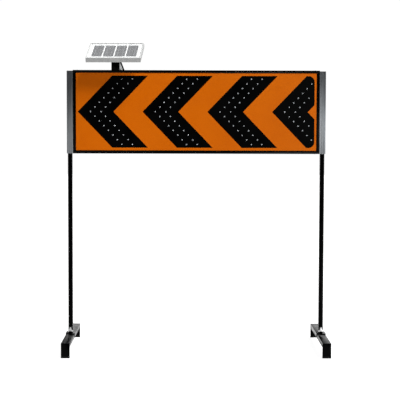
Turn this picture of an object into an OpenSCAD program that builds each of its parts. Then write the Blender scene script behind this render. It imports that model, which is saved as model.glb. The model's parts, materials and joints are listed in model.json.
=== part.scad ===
// Free-standing solar LED chevron board on two posts with bridge feet.
// Origin: on the floor midway between the posts. +X right seen from the front, front faces -Y, +Z up.

/* [Sign head] */
// Width of the framed sign between the two side channels
sign_w = 1778; // [1450:1:2140]
// Height of the sign head
head_h = 600; // [500:1:720]
// Depth of the head, front to back
head_d = 50; // [46:1:62]
// Height of the head's lower edge above the floor
head_z = 1415; // [1160:1:1700]
// Wall of the folded frame rails
frame_wall = 2; // [1.5:0.1:2.5]
// Front lip of the top rail
lip_top = 20; // [16:0.5:24]
// Front lip of the bottom rail
lip_bottom = 23; // [19:0.5:28]
// Front lip of the two side rails
lip_side = 22; // [17:0.5:26]
// Thickness of the face sheet
face_t = 3; // [2:0.1:4]
// Thickness of the back cover
cover_t = 1.5; // [1:0.1:2]

/* [Chevrons] */
// Number of chevrons
chevron_count = 4; // [4:1:4]
// Orange margin above and below the chevrons
chevron_margin = 20; // [15:1:26]
// Margin between the frame and the first chevron's tip
tip_margin = 13; // [10:0.5:20]
// Margin between the frame and the last chevron's clipped edge
clip_margin = 15; // [12:0.5:22]
// Width of each chevron arm, measured along X
chevron_w = 257; // [215:1:300]
// Run of an arm along X for each millimetre of height
chevron_slope = 0.96; // [0.8:0.01:1.1]
// Width of the last chevron, which ends at a vertical edge
last_chevron_w = 306; // [270:1:360]
// Radius of the last chevron's outer corners
clip_r = 43; // [30:1:50]
// Thickness of the chevron film
film_t = 0.4; // [0.3:0.1:0.6]

/* [LEDs] */
// Diameter of an LED lens
led_d = 10; // [8:0.1:12]
// Clearance of the LED in its hole, on the diameter
led_clear = 0.3; // [0.2:0.1:0.6]
// Distance from a chevron's tip to its first LED column
led_first = 91; // [80:1:105]
// Distance between the two LED columns
led_gap = 76.5; // [64:0.5:90]
// Height step from one LED row to the next
led_step = 33.6; // [28:0.1:40]
// Smallest distance from an LED's centre to a chevron's edge
led_edge = 20; // [16:0.5:22]
// How far the lens stands out of the face sheet
led_proud = 5; // [3:0.5:7]
// Thickness of an LED's rear flange
led_flange_t = 1; // [0.8:0.1:1.5]
// Thickness of the LED circuit boards
board_t = 1.6; // [1.2:0.1:2]
// Distance from the LED centres to the edge of a circuit board
board_edge = 12; // [9:0.5:14]

/* [Side channels and posts] */
// Width of a side channel
channel_w = 44; // [41:0.5:53]
// Distance from the frame's top edge down to the channel's cap
channel_drop = 5; // [3:0.5:8]
// Width of the channel's shallow front grooves
groove_w = 3; // [2:0.5:4]
// Depth of the channel's shallow front grooves
groove_depth = 1.5; // [1:0.1:2]
// Thickness of the cap on a side channel
cap_t = 3; // [2:0.5:5]
// Length of the cap's plug inside the channel
cap_plug = 10; // [6:1:15]
// Outer size of the square posts
post_w = 32; // [29:0.5:38]
// Wall of the posts
post_wall = 2; // [1.6:0.1:2.5]
// Running gap between sliding pieces, per side
slide_gap = 0.4; // [0.3:0.05:0.6]

/* [Feet] */
// Length of a foot, front to back, over its end plates
foot_len = 874; // [550:1:1050]
// Height of the top of the foot beam above the floor
foot_h = 106; // [85:1:127]
// Width of the foot beam
beam_w = 60; // [50:0.5:73]
// Height of the foot beam
beam_h = 30; // [25:0.5:37]
// Wall of the foot beam
beam_wall = 2; // [1.6:0.1:3]
// Width of the end plates
plate_w = 62; // [52:0.5:75]
// Thickness of the end plates
plate_t = 6; // [4:0.5:8]
// Thickness of rubber around the end plates' lower edges
pad_t = 2; // [1.5:0.1:3]
// Height of the rubber edge strips
pad_h = 12; // [8:0.5:20]
// Length of the saddle along the beam
saddle_len = 110; // [90:1:140]
// Thickness of the saddle's top
saddle_t = 5; // [4:0.5:6]
// Thickness of the saddle's skirts
skirt_t = 3; // [2:0.5:4]
// Height of the saddle's skirts below the top of the beam
skirt_h = 21; // [15:0.5:24]
// Gap between the saddle's skirts and the beam, per side
skirt_gap = 0.2; // [0.1:0.05:0.4]
// Length of the square spigot inside the post
spigot_len = 120; // [90:1:150]
// Wall of the spigot
spigot_wall = 2.5; // [2:0.1:3]

/* [Clamp knobs] */
// Overall diameter of a three-lobed knob
knob_d = 41; // [36:0.5:43]
// Width of a knob's lobe
lobe_w = 12; // [9:0.5:15]
// Thickness of a knob's lobes
lobe_t = 11; // [8:0.5:15]
// Diameter of a knob's hub
hub_d = 18; // [15:0.5:22]
// Diameter of the clamp screws
stud_d = 8; // [6:0.5:10]
// Running clearance of screws and pins, on the diameter
stud_clear = 0.1; // [0.06:0.02:0.18]
// Gap between a clamp screw's tip and the piece that it clamps
tip_gap = 0.3; // [0.2:0.05:0.5]
// Diameter of the threaded bosses
boss_d = 16; // [14:0.5:18]
// Height of the threaded bosses
boss_h = 6; // [4:0.5:8]
// Height of the base knobs above the saddle
base_knob_rise = 22; // [22:0.5:35]
// Height of the head knobs above the head's lower edge
head_knob_rise = 45; // [30:1:80]

/* [Solar mount] */
// Distance of the solar mast from the middle of the sign
mast_x = -583; // [-700:1:-420]
// Width of the mast
mast_w = 58; // [50:0.5:70]
// Depth of the mast
mast_d = 40; // [36:0.5:44]
// Height of the mast
mast_h = 60; // [50:0.5:72]
// Wall of the mast
mast_wall = 4; // [3:0.5:5]
// Thickness of the mast's top and bottom plates
mast_plate = 6; // [5:0.5:8]
// Width of the gusset at its foot
gusset_foot = 26; // [20:0.5:32]
// Width of the gusset at its top
gusset_top = 3; // [2:0.5:6]
// Thickness of the gusset
gusset_t = 3; // [2:0.5:5]
// Width of the brace bar along the gusset, measured along X
brace_w = 10; // [7:0.5:12]
// Depth of the brace bar
brace_d = 12; // [8:0.5:16]
// Diameter of the swivel pin
swivel_d = 14; // [12:0.5:17]
// Length of the swivel pin in the mast
swivel_len = 28; // [23:0.5:34]
// Diameter of the cradle's round base
cradle_d = 40; // [36:0.5:46]
// Thickness of the cradle's round base
cradle_t = 6; // [5:0.5:8]
// Thickness of the cradle's two ears
ear_t = 5; // [4:0.5:6]
// Width of the cradle's ears
ear_w = 24; // [20:0.5:28]
// Height of the tilt axis above the mast
axis_rise = 32; // [28:0.5:38]
// Turn of the panel about the mast, seen from above
solar_yaw = -3.6; // [-30:0.1:30]
// Tilt of the panel from level
solar_tilt = 24; // [0:0.5:45]

/* [Solar panel] */
// Width of the panel
panel_w = 392; // [330:1:470]
// Length of the panel along its slope
panel_l = 295; // [250:1:354]
// Depth of the panel's frame
panel_d = 35; // [30:0.5:42]
// Wall of the panel's frame
panel_wall = 2; // [1.5:0.1:2.5]
// Width of the frame's lip over the glass
panel_lip = 9; // [6:0.5:11]
// Thickness of the glass
glass_t = 3.2; // [2.5:0.1:4]
// Thickness of the cells
cell_t = 0.4; // [0.3:0.1:0.6]
// Thickness of the back sheet
sheet_t = 1; // [0.6:0.1:1.5]
// Number of cells across the panel
cell_cols = 4; // [3:1:6]
// Number of cells along the slope
cell_rows = 9; // [6:1:12]
// Margin between the frame's lip and the cells at the panel's sides
cell_margin = 25.5; // [6:0.5:31]
// Margin between the frame's lip and the cells at the panel's upper and lower ends
cell_end_margin = 30; // [6:0.5:36]
// Gap between neighbouring columns of cells
cell_col_gap = 8; // [5:0.5:12]
// Gap between neighbouring rows of cells
cell_row_gap = 1.5; // [1:0.1:3]
// Distance from the tilt axis to the underside of the panel
panel_rise = 19; // [17:0.5:24]
// Width of the rail across the underside
rail_w = 40; // [36:0.5:48]
// Depth of the rail across the underside
rail_t = 15; // [12:0.5:18]
// Wall of the rail across the underside
rail_wall = 2.5; // [2:0.1:3]
// Width of the lug that the tilt screw goes through
lug_w = 24; // [20:0.5:28]

/* [Battery box] */
// Width of the battery box
box_w = 260; // [230:1:310]
// Height of the battery box
box_h = 200; // [190:1:240]
// Depth of the battery box
box_d = 115; // [110:1:138]
// Wall of the battery box
box_wall = 2; // [1.5:0.1:3]
// Height of the box above the head's lower edge
box_rise = 60; // [60:1:100]
// Width of the rim around the box's opening
rim_w = 12; // [9:0.5:15]
// Thickness of the door
door_t = 3; // [2:0.5:4]
// Thickness of the door's rubber seal
seal_t = 3; // [2:0.5:4]
// Gap between the closed seal and the rim
seal_gap = 0.2; // [0.1:0.05:0.4]
// Width of the door's rubber seal
seal_w = 8; // [6:0.5:9]
// Diameter of the hinge pin
pin_d = 5; // [4:0.5:6]
// Diameter of the hinge knuckles
knuckle_d = 10; // [9:0.5:12]
// Length of each hinge knuckle
knuckle_len = 20; // [16:1:24]
// Gap between neighbouring knuckles
knuckle_gap = 0.4; // [0.3:0.1:0.8]
// Distance of the hinge axis from the side of the box
hinge_out = 7.5; // [7:0.5:9]
// Diameter of the latch shaft
latch_d = 10; // [8:0.5:12]
// Length of the latch's cam from its axis
cam_len = 20; // [19:0.5:23]
// Battery width
battery_w = 151; // [126:1:180]
// Battery depth
battery_d = 98; // [82:1:106]
// Battery height
battery_h = 95; // [80:1:114]
// Width of the charge controller
controller_w = 130; // [110:1:155]
// Height of the charge controller
controller_h = 62; // [52:1:74]
// Depth of the charge controller
controller_d = 26; // [22:1:31]

/* [Fasteners] */
// Diameter of the frame and cover screws
screw_d = 5; // [4:0.5:6]
// Clearance of a screw in its hole, on the diameter
screw_clear = 0.2; // [0.1:0.1:0.4]
// Length of a corner bracket's legs
bracket_leg = 60; // [50:1:75]
// Thickness of the corner brackets
bracket_t = 3; // [2:0.5:4]
// Width of the corner brackets
bracket_w = 28; // [22:1:32]
// Width of the inner stiffeners
stiffener_w = 40; // [34:1:44]
// Wall of the inner stiffeners
stiffener_wall = 2; // [1.5:0.1:2.5]

/* [Hidden] */
$fn = 48;
// Small overshoot of cutting shapes past the faces that they open
cut = 1;

// Sign head
front_y = -head_d / 2;
back_y = head_d / 2;
head_top = head_z + head_h;
face_y = front_y + frame_wall;
face_back_y = face_y + face_t;
cover_back_y = back_y - frame_wall;
cover_front_y = cover_back_y - cover_t;
sheet_gap = 0.5;
sheet_w = sign_w - 2 * (frame_wall + sheet_gap);
sheet_h = head_h - 2 * (frame_wall + sheet_gap);
view_left = -sign_w / 2 + lip_side;
view_right = sign_w / 2 - lip_side;
view_h = head_h - lip_top - lip_bottom;
view_z = head_z + lip_bottom + view_h / 2;

// Chevrons
chevron_half = view_h / 2 - chevron_margin;
chevron_run = chevron_half * chevron_slope;
clip_x = view_right - clip_margin;
first_tip = view_left + tip_margin;
last_tip = clip_x - last_chevron_w;
chevron_pitch = (last_tip - first_tip) / (chevron_count - 1);
function tip_x(i) = first_tip + i * chevron_pitch;

// LEDs
led_half_rows = floor((chevron_half - led_edge) / led_step);
function led_x(i, column, row) = tip_x(i) + led_first + column * led_gap + abs(row) * led_step * chevron_slope;
function led_points(i) = [
    for (column = [0, 1], row = [-led_half_rows : led_half_rows])
        if (led_x(i, column, row) <= clip_x - led_edge)
            [led_x(i, column, row), view_z + row * led_step]
];
led_r = led_d / 2;
led_flange_r = led_r + 1.2;
board_y = face_back_y + led_flange_t;
board_half = led_half_rows * led_step + board_edge;

// Side channels and posts
post_x = sign_w / 2 + channel_w / 2;
channel_bore = post_w + 2 * slide_gap;
channel_wall = (channel_w - channel_bore) / 2;
channel_top = head_top - channel_drop - cap_t;
bolt_short = 1;
plug_w = channel_bore - 0.4;
foot_socket_z = foot_h + saddle_t;
post_top = channel_top - cap_plug;
knob_z = foot_socket_z + base_knob_rise;
head_knob_z = head_z + head_knob_rise;
spigot_w = post_w - 2 * post_wall - 2 * slide_gap;

// Clamp knobs
stud_bore = stud_d + stud_clear;
knob_gap = 0.5;
lobe_reach = knob_d / 2 - lobe_w / 2;

// Solar mount
mast_top = head_top + mast_h;
swivel_gap = 0.3;
axis_z = mast_top + axis_rise;
ear_gap = 0.3;
ear_x = lug_w / 2 + ear_gap;
bushing_d = swivel_d + 10;
lug_r = 10;
tilt_head_d = 14;
tilt_head_t = 5;

// Solar panel, in a frame with its origin on the tilt axis
panel_top = panel_rise + panel_d;
glass_top = panel_top - panel_wall;
cells_top = glass_top - glass_t;
backsheet_top = cells_top - cell_t;
backsheet_bottom = backsheet_top - sheet_t;
inner_w = panel_w - 2 * panel_wall;
inner_l = panel_l - 2 * panel_wall;
laminate_gap = 0.5;
laminate_w = inner_w - 2 * laminate_gap;
laminate_l = inner_l - 2 * laminate_gap;
cells_w = panel_w - 2 * (panel_lip + cell_margin);
cells_l = panel_l - 2 * (panel_lip + cell_end_margin);
cell_w = (cells_w - (cell_cols - 1) * cell_col_gap) / cell_cols;
cell_l = (cells_l - (cell_rows - 1) * cell_row_gap) / cell_rows;

// Battery box
box_z = head_z + box_rise;
box_top = box_z + box_h;
box_y = cover_back_y;
box_back = box_y + box_d;
seal_y = box_back + seal_gap;
door_y = seal_y + seal_t;
hinge_x = -box_w / 2 - hinge_out;
hinge_y = door_y + door_t / 2;
pin_bore = pin_d + stud_clear;
hinge_low = box_z + 20;
hinge_high = box_top - 20;
latch_x = box_w / 2 - box_wall - rim_w - latch_d;
latch_z = box_z + box_h / 2;
latch_bore = latch_d + stud_clear;
cam_w = latch_d;
cam_t = 3;
wing_l = 34;
wing_w = 10;
wing_t = 12;
mode_y = box_y + box_d / 2;
mode_z = box_top - 50;
mode_d = 6;
gland_x = -60;
gland_y = box_y + 50;
gland_d = 16;

// Fasteners
screw_bore = screw_d + screw_clear;
head_flange_d = 2 * screw_d;
screw_head_t = 2.5;
screw_len = 8;
stiffener_d = cover_front_y - face_back_y;
bracket_y = 4;

// A block given by its lowest corner and its size along X, Y and Z
module block(corner, size) {
    translate(corner) cube(size);
}

// A cylinder along +Y from a point
module y_rod(x, y, z, d, length) {
    translate([x, y, z]) rotate([-90, 0, 0]) cylinder(d = d, h = length);
}

// A cylinder along +X from a point
module x_rod(x, y, z, d, length) {
    translate([x, y, z]) rotate([0, 90, 0]) cylinder(d = d, h = length);
}

// An outline drawn in X and Z, extruded from one depth towards +Y
module upright(y, thickness) {
    translate([0, y + thickness, 0]) rotate([90, 0, 0]) linear_extrude(thickness) children();
}

// ---- Face, chevrons and LEDs ----

// Outline of a chevron that points towards -X
module chevron_outline(x, half_h, width, slope) {
    run = half_h * slope;
    polygon([
        [x, 0], [x + run, half_h], [x + run + width, half_h],
        [x + width, 0], [x + run + width, -half_h], [x + run, -half_h]
    ]);
}

// Everything left of a vertical edge, with rounded corners at the chevron's top and bottom
module clip_outline() {
    difference() {
        translate([clip_x - sign_w, -chevron_half]) square([sign_w, 2 * chevron_half]);
        for (side = [-1, 1]) {
            difference() {
                translate([clip_x - clip_r, side > 0 ? chevron_half - clip_r : -chevron_half - cut])
                    square([clip_r + cut, clip_r + cut]);
                translate([clip_x - clip_r, side * (chevron_half - clip_r)]) circle(r = clip_r);
            }
        }
    }
}

// Holes for one chevron's LEDs, from one depth towards +Y
module led_holes(i, y, thickness) {
    for (point = led_points(i)) {
        y_rod(point[0], y - cut, point[1], led_d + led_clear, thickness + 2 * cut);
    }
}

module face_sheet() {
    color("darkorange") difference() {
        block([-sheet_w / 2, face_y, head_z + frame_wall + sheet_gap], [sheet_w, face_t, sheet_h]);
        for (i = [0 : chevron_count - 1]) {
            led_holes(i, face_y, face_t);
        }
    }
}

module chevron(i) {
    color("black") difference() {
        translate([0, 0, view_z]) upright(face_y - film_t, film_t) {
            if (i < chevron_count - 1) {
                chevron_outline(tip_x(i), chevron_half, chevron_w, chevron_slope);
            } else {
                intersection() {
                    chevron_outline(tip_x(i), chevron_half, chevron_w, chevron_slope);
                    clip_outline();
                }
            }
        }
        led_holes(i, face_y - film_t, film_t);
    }
}

// One LED lens with its rear flange; its dome faces -Y
module led() {
    rotate([90, 0, 0]) rotate_extrude() union() {
        square([led_flange_r, led_flange_t]);
        square([led_r, led_flange_t + face_t + led_proud - led_r]);
        intersection() {
            translate([0, led_flange_t + face_t + led_proud - led_r]) circle(r = led_r);
            square([led_r, led_flange_t + face_t + led_proud]);
        }
    }
}

module leds(i) {
    color("gainsboro") for (point = led_points(i)) {
        translate([point[0], board_y, point[1]]) led();
    }
}

module led_boards() {
    color("darkgreen") for (i = [0 : chevron_count - 1]) {
        translate([0, 0, view_z]) upright(board_y, board_t) intersection() {
            chevron_outline(tip_x(i) + led_first - board_edge, board_half,
                led_gap + 2 * board_edge, chevron_slope);
            translate([-sign_w, -board_half]) square([sign_w + clip_x - board_edge / 2, 2 * board_half]);
        }
    }
}

// ---- Frame, channels and covers ----

// Places of the screws along the top and bottom rails
function rail_screw_xs() = [for (side = [-1, 1]) side * (sign_w / 2 - bracket_leg / 2)];

// Places of the cover screws along the top and bottom rails' rear lips
function cover_screw_xs() = [for (k = [-2 : 2]) k * (sign_w / 2 - bracket_leg) / 2];

// Heights of the two rows of cover screws
function cover_screw_zs() = [head_z + lip_bottom / 2, head_top - lip_top / 2];

module horizontal_rail(z, lip, up) {
    color([0.03, 0.03, 0.03]) difference() {
        block([-sign_w / 2, front_y, z], [sign_w, head_d, lip]);
        block([-sign_w / 2 - cut, face_y, up ? z + frame_wall : z - cut],
            [sign_w + 2 * cut, head_d - 2 * frame_wall, lip - frame_wall + cut]);
        for (x = rail_screw_xs()) {
            translate([x, bracket_y, z - cut]) cylinder(d = screw_bore, h = lip + 2 * cut);
        }
        for (x = cover_screw_xs()) {
            y_rod(x, cover_back_y - cut, z + lip / 2, screw_bore, frame_wall + 2 * cut);
        }
        if (!up) {
            mast_bolt_holes(z - cut, lip + 2 * cut);
        }
    }
}

module frame_top() {
    horizontal_rail(head_top - lip_top, lip_top, false);
}

module frame_bottom() {
    horizontal_rail(head_z, lip_bottom, true);
}

// Heights of the bolts that hold the side channels
function channel_bolt_zs() = [for (k = [-1 : 1]) head_z + head_h / 2 + k * head_h / 3];

module side_rail(side) {
    low = head_z + lip_bottom;
    high = head_top - lip_top;
    color([0.03, 0.03, 0.03]) difference() {
        translate([side * (sign_w / 2 - lip_side / 2) - lip_side / 2, front_y, low])
            cube([lip_side, head_d, high - low]);
        translate([side * (sign_w / 2 - frame_wall - lip_side / 2) - lip_side / 2, face_y, low - cut])
            cube([lip_side, head_d - 2 * frame_wall, high - low + 2 * cut]);
        for (z = channel_bolt_zs()) {
            x_rod(side * sign_w / 2 - lip_side, 0, z, screw_bore, 2 * lip_side);
        }
    }
}

module frame_left() {
    side_rail(-1);
}

module frame_right() {
    side_rail(1);
}

// Outline of a side channel with the post's bore and two shallow front grooves
module channel_outline() {
    difference() {
        square([channel_w, head_d], center = true);
        square(channel_bore, center = true);
        for (side = [-1, 1]) {
            translate([side * channel_w / 6 - groove_w / 2, front_y - cut])
                square([groove_w, groove_depth + cut]);
        }
    }
}

module side_channel(side) {
    color("silver") translate([side * post_x, 0, 0]) difference() {
        union() {
            translate([0, 0, head_z]) linear_extrude(channel_top - head_z) channel_outline();
            y_rod(0, back_y - cut, head_knob_z, boss_d, boss_h + cut);
        }
        y_rod(0, 0, head_knob_z, stud_bore, head_d);
        translate([0, 0, head_z - cut]) linear_extrude(head_knob_rise + boss_d)
            square(channel_bore, center = true);
        for (z = channel_bolt_zs()) {
            x_rod(-side * channel_w / 2 - channel_wall - cut, 0, z, screw_bore, 2 * (channel_wall + cut));
        }
    }
}

module channel_caps() {
    color("dimgray") for (side = [-1, 1]) {
        translate([side * post_x, 0, 0]) union() {
            translate([-channel_w / 2, front_y, channel_top]) cube([channel_w, head_d, cap_t]);
            translate([-plug_w / 2, -plug_w / 2, channel_top - cap_plug]) cube([plug_w, plug_w, cap_plug + cut]);
        }
    }
}

// Each bolt has its head inside the frame and ends just short of the channel's bore
module channel_bolts() {
    color("darkgray") for (side = [-1, 1], z = channel_bolt_zs()) {
        translate([side * sign_w / 2, 0, z]) rotate([0, side * 90, 0]) union() {
            translate([0, 0, -frame_wall]) cylinder(d = screw_d, h = frame_wall + channel_wall - bolt_short);
            translate([0, 0, -frame_wall - screw_head_t]) cylinder(d = head_flange_d, h = screw_head_t);
        }
    }
}

module back_cover() {
    color([0.12, 0.12, 0.12]) difference() {
        block([-sheet_w / 2, cover_front_y, head_z + frame_wall + sheet_gap], [sheet_w, cover_t, sheet_h]);
        for (x = cover_screw_xs(), z = cover_screw_zs()) {
            y_rod(x, cover_front_y - cut, z, screw_bore, cover_t + 2 * cut);
        }
    }
}

// Upright channels between the face sheet and the back cover, clear of the LEDs
module stiffeners() {
    led_run = led_half_rows * led_step * chevron_slope;
    color("lightgray") for (i = [1 : chevron_count - 1]) {
        middle = (tip_x(i - 1) + led_gap + led_run + tip_x(i)) / 2 + led_first;
        difference() {
            block([middle - stiffener_w / 2, face_back_y, head_z + frame_wall + sheet_gap],
                [stiffener_w, stiffener_d, sheet_h]);
            block([middle - stiffener_w / 2 + stiffener_wall, face_back_y + stiffener_wall, head_z],
                [stiffener_w, stiffener_d - 2 * stiffener_wall, head_h]);
            for (x = cover_screw_xs(), z = cover_screw_zs()) {
                y_rod(x, cover_front_y - screw_len, z, screw_bore, screw_len + cut);
            }
        }
    }
}

// L-shaped brackets inside the frame's corners
module corner_brackets() {
    color("lightgray") for (side = [-1, 1], level = [-1, 1]) {
        translate([side * (sign_w / 2 - frame_wall), bracket_y, head_z + head_h / 2])
            mirror([side > 0 ? 1 : 0, 0, 0]) mirror([0, 0, level > 0 ? 1 : 0]) difference() {
                translate([0, -bracket_w / 2, frame_wall - head_h / 2])
                    cube([bracket_leg, bracket_w, bracket_leg]);
                translate([bracket_t, -bracket_w / 2 - cut, frame_wall - head_h / 2 + bracket_t])
                    cube([bracket_leg, bracket_w + 2 * cut, bracket_leg]);
                translate([bracket_leg / 2 - frame_wall, 0, -head_h / 2]) cylinder(d = screw_bore, h = bracket_leg);
            }
    }
}

// A round-headed screw; the head's underside is at the origin and the shank runs along -Z
module screw() {
    union() {
        translate([0, 0, -screw_len]) cylinder(d = screw_d, h = screw_len);
        cylinder(d1 = head_flange_d, d2 = screw_d, h = screw_head_t);
    }
}

module frame_screws() {
    color("dimgray") for (x = rail_screw_xs()) {
        translate([x, bracket_y, head_top]) screw();
        translate([x, bracket_y, head_z]) rotate([180, 0, 0]) screw();
    }
}

module cover_screws() {
    color("dimgray") for (x = cover_screw_xs(), z = cover_screw_zs()) {
        translate([x, back_y, z]) rotate([-90, 0, 0]) screw();
    }
}

// ---- Battery box ----

// One hinge knuckle with the arm that joins it to its sheet
module knuckle(z, arm_y, arm_t) {
    difference() {
        union() {
            translate([hinge_x, hinge_y, z]) cylinder(d = knuckle_d, h = knuckle_len);
            block([hinge_x - pin_d / 2, arm_y, z], [hinge_out + pin_d / 2 + box_wall, arm_t, knuckle_len]);
        }
        translate([hinge_x, hinge_y, z - cut]) cylinder(d = pin_bore, h = knuckle_len + 2 * cut);
    }
}

module battery_box() {
    arm_y = box_back - knuckle_d / 2;
    arm_t = hinge_y - pin_bore / 2 - 1 - arm_y;
    color([0.1, 0.1, 0.1]) difference() {
        union() {
            block([-box_w / 2, box_y, box_z], [box_w, box_d, box_h]);
            for (z = [hinge_low, hinge_high - knuckle_len]) {
                knuckle(z, arm_y, arm_t);
            }
        }
        block([-box_w / 2 + box_wall, box_y + box_wall, box_z + box_wall],
            [box_w - 2 * box_wall, box_d - 2 * box_wall, box_h - 2 * box_wall]);
        block([-box_w / 2 + box_wall + rim_w, box_back - box_wall - cut, box_z + box_wall + rim_w],
            [box_w - 2 * (box_wall + rim_w), box_wall + 2 * cut, box_h - 2 * (box_wall + rim_w)]);
        x_rod(box_w / 2 - box_wall - cut, mode_y, mode_z, mode_d + stud_clear, box_wall + 2 * cut);
        translate([gland_x, gland_y, box_top - box_wall - cut])
            cylinder(d = gland_d + screw_clear, h = box_wall + 2 * cut);
    }
}

module battery() {
    x = -box_w / 2 + box_wall + 4;
    z = box_z + box_wall;
    y = box_y + box_wall;
    terminal_d = 8;
    terminal_h = 8;
    color([0.2, 0.2, 0.22]) union() {
        block([x, y, z], [battery_w, battery_d, battery_h]);
        for (px = [x + 15, x + battery_w - 15]) {
            translate([px, y + 15, z + battery_h]) cylinder(d = terminal_d, h = terminal_h);
        }
    }
}

module charge_controller() {
    color([0.15, 0.2, 0.3]) block([-controller_w / 2, box_y + box_wall, box_top - box_wall - 10 - controller_h],
        [controller_w, controller_d, controller_h]);
}

module door_hinge_pin() {
    color("silver") union() {
        translate([hinge_x, hinge_y, hinge_low - 2]) cylinder(d = pin_d, h = hinge_high - hinge_low + 4);
        translate([hinge_x, hinge_y, hinge_high + 0.3]) cylinder(d = pin_d + 3, h = 3);
    }
}

module box_gland() {
    color([0.08, 0.08, 0.08]) translate([gland_x, gland_y, box_top]) difference() {
        union() {
            translate([0, 0, -box_wall - 4]) cylinder(d = gland_d, h = box_wall + 5);
            cylinder(d = gland_d + 6, h = 5);
            translate([0, 0, 4]) cylinder(d1 = gland_d + 4, d2 = gland_d - 4, h = 14);
        }
        translate([0, 0, 4]) cylinder(d = 6, h = 20);
    }
}

module box_door() {
    first = hinge_low + knuckle_len + knuckle_gap;
    second = hinge_high - 2 * knuckle_len - knuckle_gap;
    color([0.1, 0.1, 0.1]) difference() {
        union() {
            block([-box_w / 2, door_y, box_z], [box_w, door_t, box_h]);
            for (z = [first, second]) {
                knuckle(z, door_y, door_t);
            }
        }
        for (z = [first, second]) {
            translate([hinge_x, hinge_y, z - cut]) cylinder(d = pin_bore, h = knuckle_len + 2 * cut);
        }
        y_rod(latch_x, door_y - cut, latch_z, latch_bore, door_t + 2 * cut);
    }
}

module door_seal() {
    inset = box_wall + (rim_w - seal_w) / 2;
    color([0.05, 0.05, 0.05]) difference() {
        block([-box_w / 2 + inset, seal_y, box_z + inset], [box_w - 2 * inset, seal_t, box_h - 2 * inset]);
        block([-box_w / 2 + inset + seal_w, seal_y - cut, box_z + inset + seal_w],
            [box_w - 2 * (inset + seal_w), seal_t + 2 * cut, box_h - 2 * (inset + seal_w)]);
    }
}

// Quarter-turn latch: a wing outside, a shaft through the door and a cam inside
module door_latch() {
    door_back = door_y + door_t;
    cam_y = box_back - box_wall - cam_t - 1;
    wing_y = door_back + 0.3;
    color("silver") union() {
        y_rod(latch_x, cam_y, latch_z, latch_d, wing_y - cam_y + 1);
        block([latch_x - cam_w / 2, cam_y, latch_z - cam_len], [cam_w, cam_t, cam_len]);
        y_rod(latch_x, wing_y, latch_z, 2 * latch_d, 4);
        block([latch_x - wing_w / 2, wing_y + 2, latch_z - wing_l / 2], [wing_w, wing_t, wing_l]);
    }
}

module mode_knob() {
    wall_x = box_w / 2;
    color([0.05, 0.05, 0.05]) union() {
        x_rod(wall_x - box_wall - 6, mode_y, mode_z, mode_d, box_wall + 8);
        x_rod(wall_x + 0.3, mode_y, mode_z, 24, 6);
        block([wall_x + 3, mode_y - 4, mode_z - 11], [12, 8, 22]);
    }
}

// ---- Solar mount ----

// Two bolts under the mast, through the top rail
module mast_bolt_holes(z, length) {
    for (side = [-1, 1]) {
        translate([mast_x + side * mast_w / 4, 0, z]) cylinder(d = screw_bore, h = length);
    }
}

module solar_mast() {
    color([0.03, 0.03, 0.03]) difference() {
        union() {
            difference() {
                translate([mast_x - mast_w / 2, -mast_d / 2, head_top]) cube([mast_w, mast_d, mast_h]);
                translate([mast_x - mast_w / 2 + mast_wall, -mast_d / 2 + mast_wall, head_top + mast_plate])
                    cube([mast_w - 2 * mast_wall, mast_d, mast_h - 2 * mast_plate]);
            }
            translate([mast_x, 0, mast_top - swivel_len]) cylinder(d = bushing_d, h = swivel_len);
        }
        translate([mast_x, 0, mast_top - swivel_len - cut])
            cylinder(d = swivel_d + stud_clear, h = swivel_len + 2 * cut);
        mast_bolt_holes(head_top - cut, mast_plate + 2 * cut);
    }
}

module mast_gusset() {
    color("silver") translate([mast_x + mast_w / 2, 0, head_top]) upright(-gusset_t / 2, gusset_t)
        polygon([[0, 0], [gusset_foot, 0], [gusset_top, mast_h], [0, mast_h]]);
}

module mast_brace() {
    color([0.03, 0.03, 0.03]) translate([mast_x + mast_w / 2, 0, head_top]) upright(-brace_d / 2, brace_d)
        polygon([
            [gusset_foot, 0], [gusset_foot + brace_w, 0],
            [gusset_top + brace_w, mast_h], [gusset_top, mast_h]
        ]);
}

module mast_bolts() {
    color("dimgray") for (side = [-1, 1]) {
        translate([mast_x + side * mast_w / 4, 0, head_top - frame_wall]) union() {
            cylinder(d = screw_d, h = frame_wall + mast_plate + 3);
            translate([0, 0, -screw_head_t]) cylinder(d = head_flange_d, h = screw_head_t);
        }
    }
}

// Turns what it holds to the panel's rest direction about the mast
module on_swivel() {
    translate([mast_x, 0, 0]) rotate([0, 0, solar_yaw]) children();
}

// Places what it holds in the panel's own frame at rest
module on_panel() {
    on_swivel() translate([0, 0, axis_z]) rotate([solar_tilt, 0, 0]) children();
}

module swivel_cradle() {
    base_z = mast_top + swivel_gap;
    color([0.1, 0.1, 0.1]) on_swivel() difference() {
        union() {
            translate([0, 0, mast_top - swivel_len]) cylinder(d = swivel_d, h = swivel_len + cradle_t);
            translate([0, 0, base_z]) cylinder(d = cradle_d, h = cradle_t);
            for (side = [-1, 1]) {
                translate([side > 0 ? ear_x : -ear_x - ear_t, 0, 0]) union() {
                    translate([0, -ear_w / 2, base_z]) cube([ear_t, ear_w, axis_z - base_z]);
                    x_rod(0, 0, axis_z, ear_w, ear_t);
                }
            }
        }
        x_rod(-cradle_d, 0, axis_z, stud_bore, 2 * cradle_d);
    }
}

// The screw that the panel tilts on, with its head at the left
module tilt_screw() {
    left = -ear_x - ear_t;
    color("silver") on_swivel() union() {
        x_rod(left, 0, axis_z, stud_d, 2 * (ear_x + ear_t) + 3);
        x_rod(left - tilt_head_t, 0, axis_z, tilt_head_d, tilt_head_t);
    }
}

// ---- Knobs ----

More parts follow.
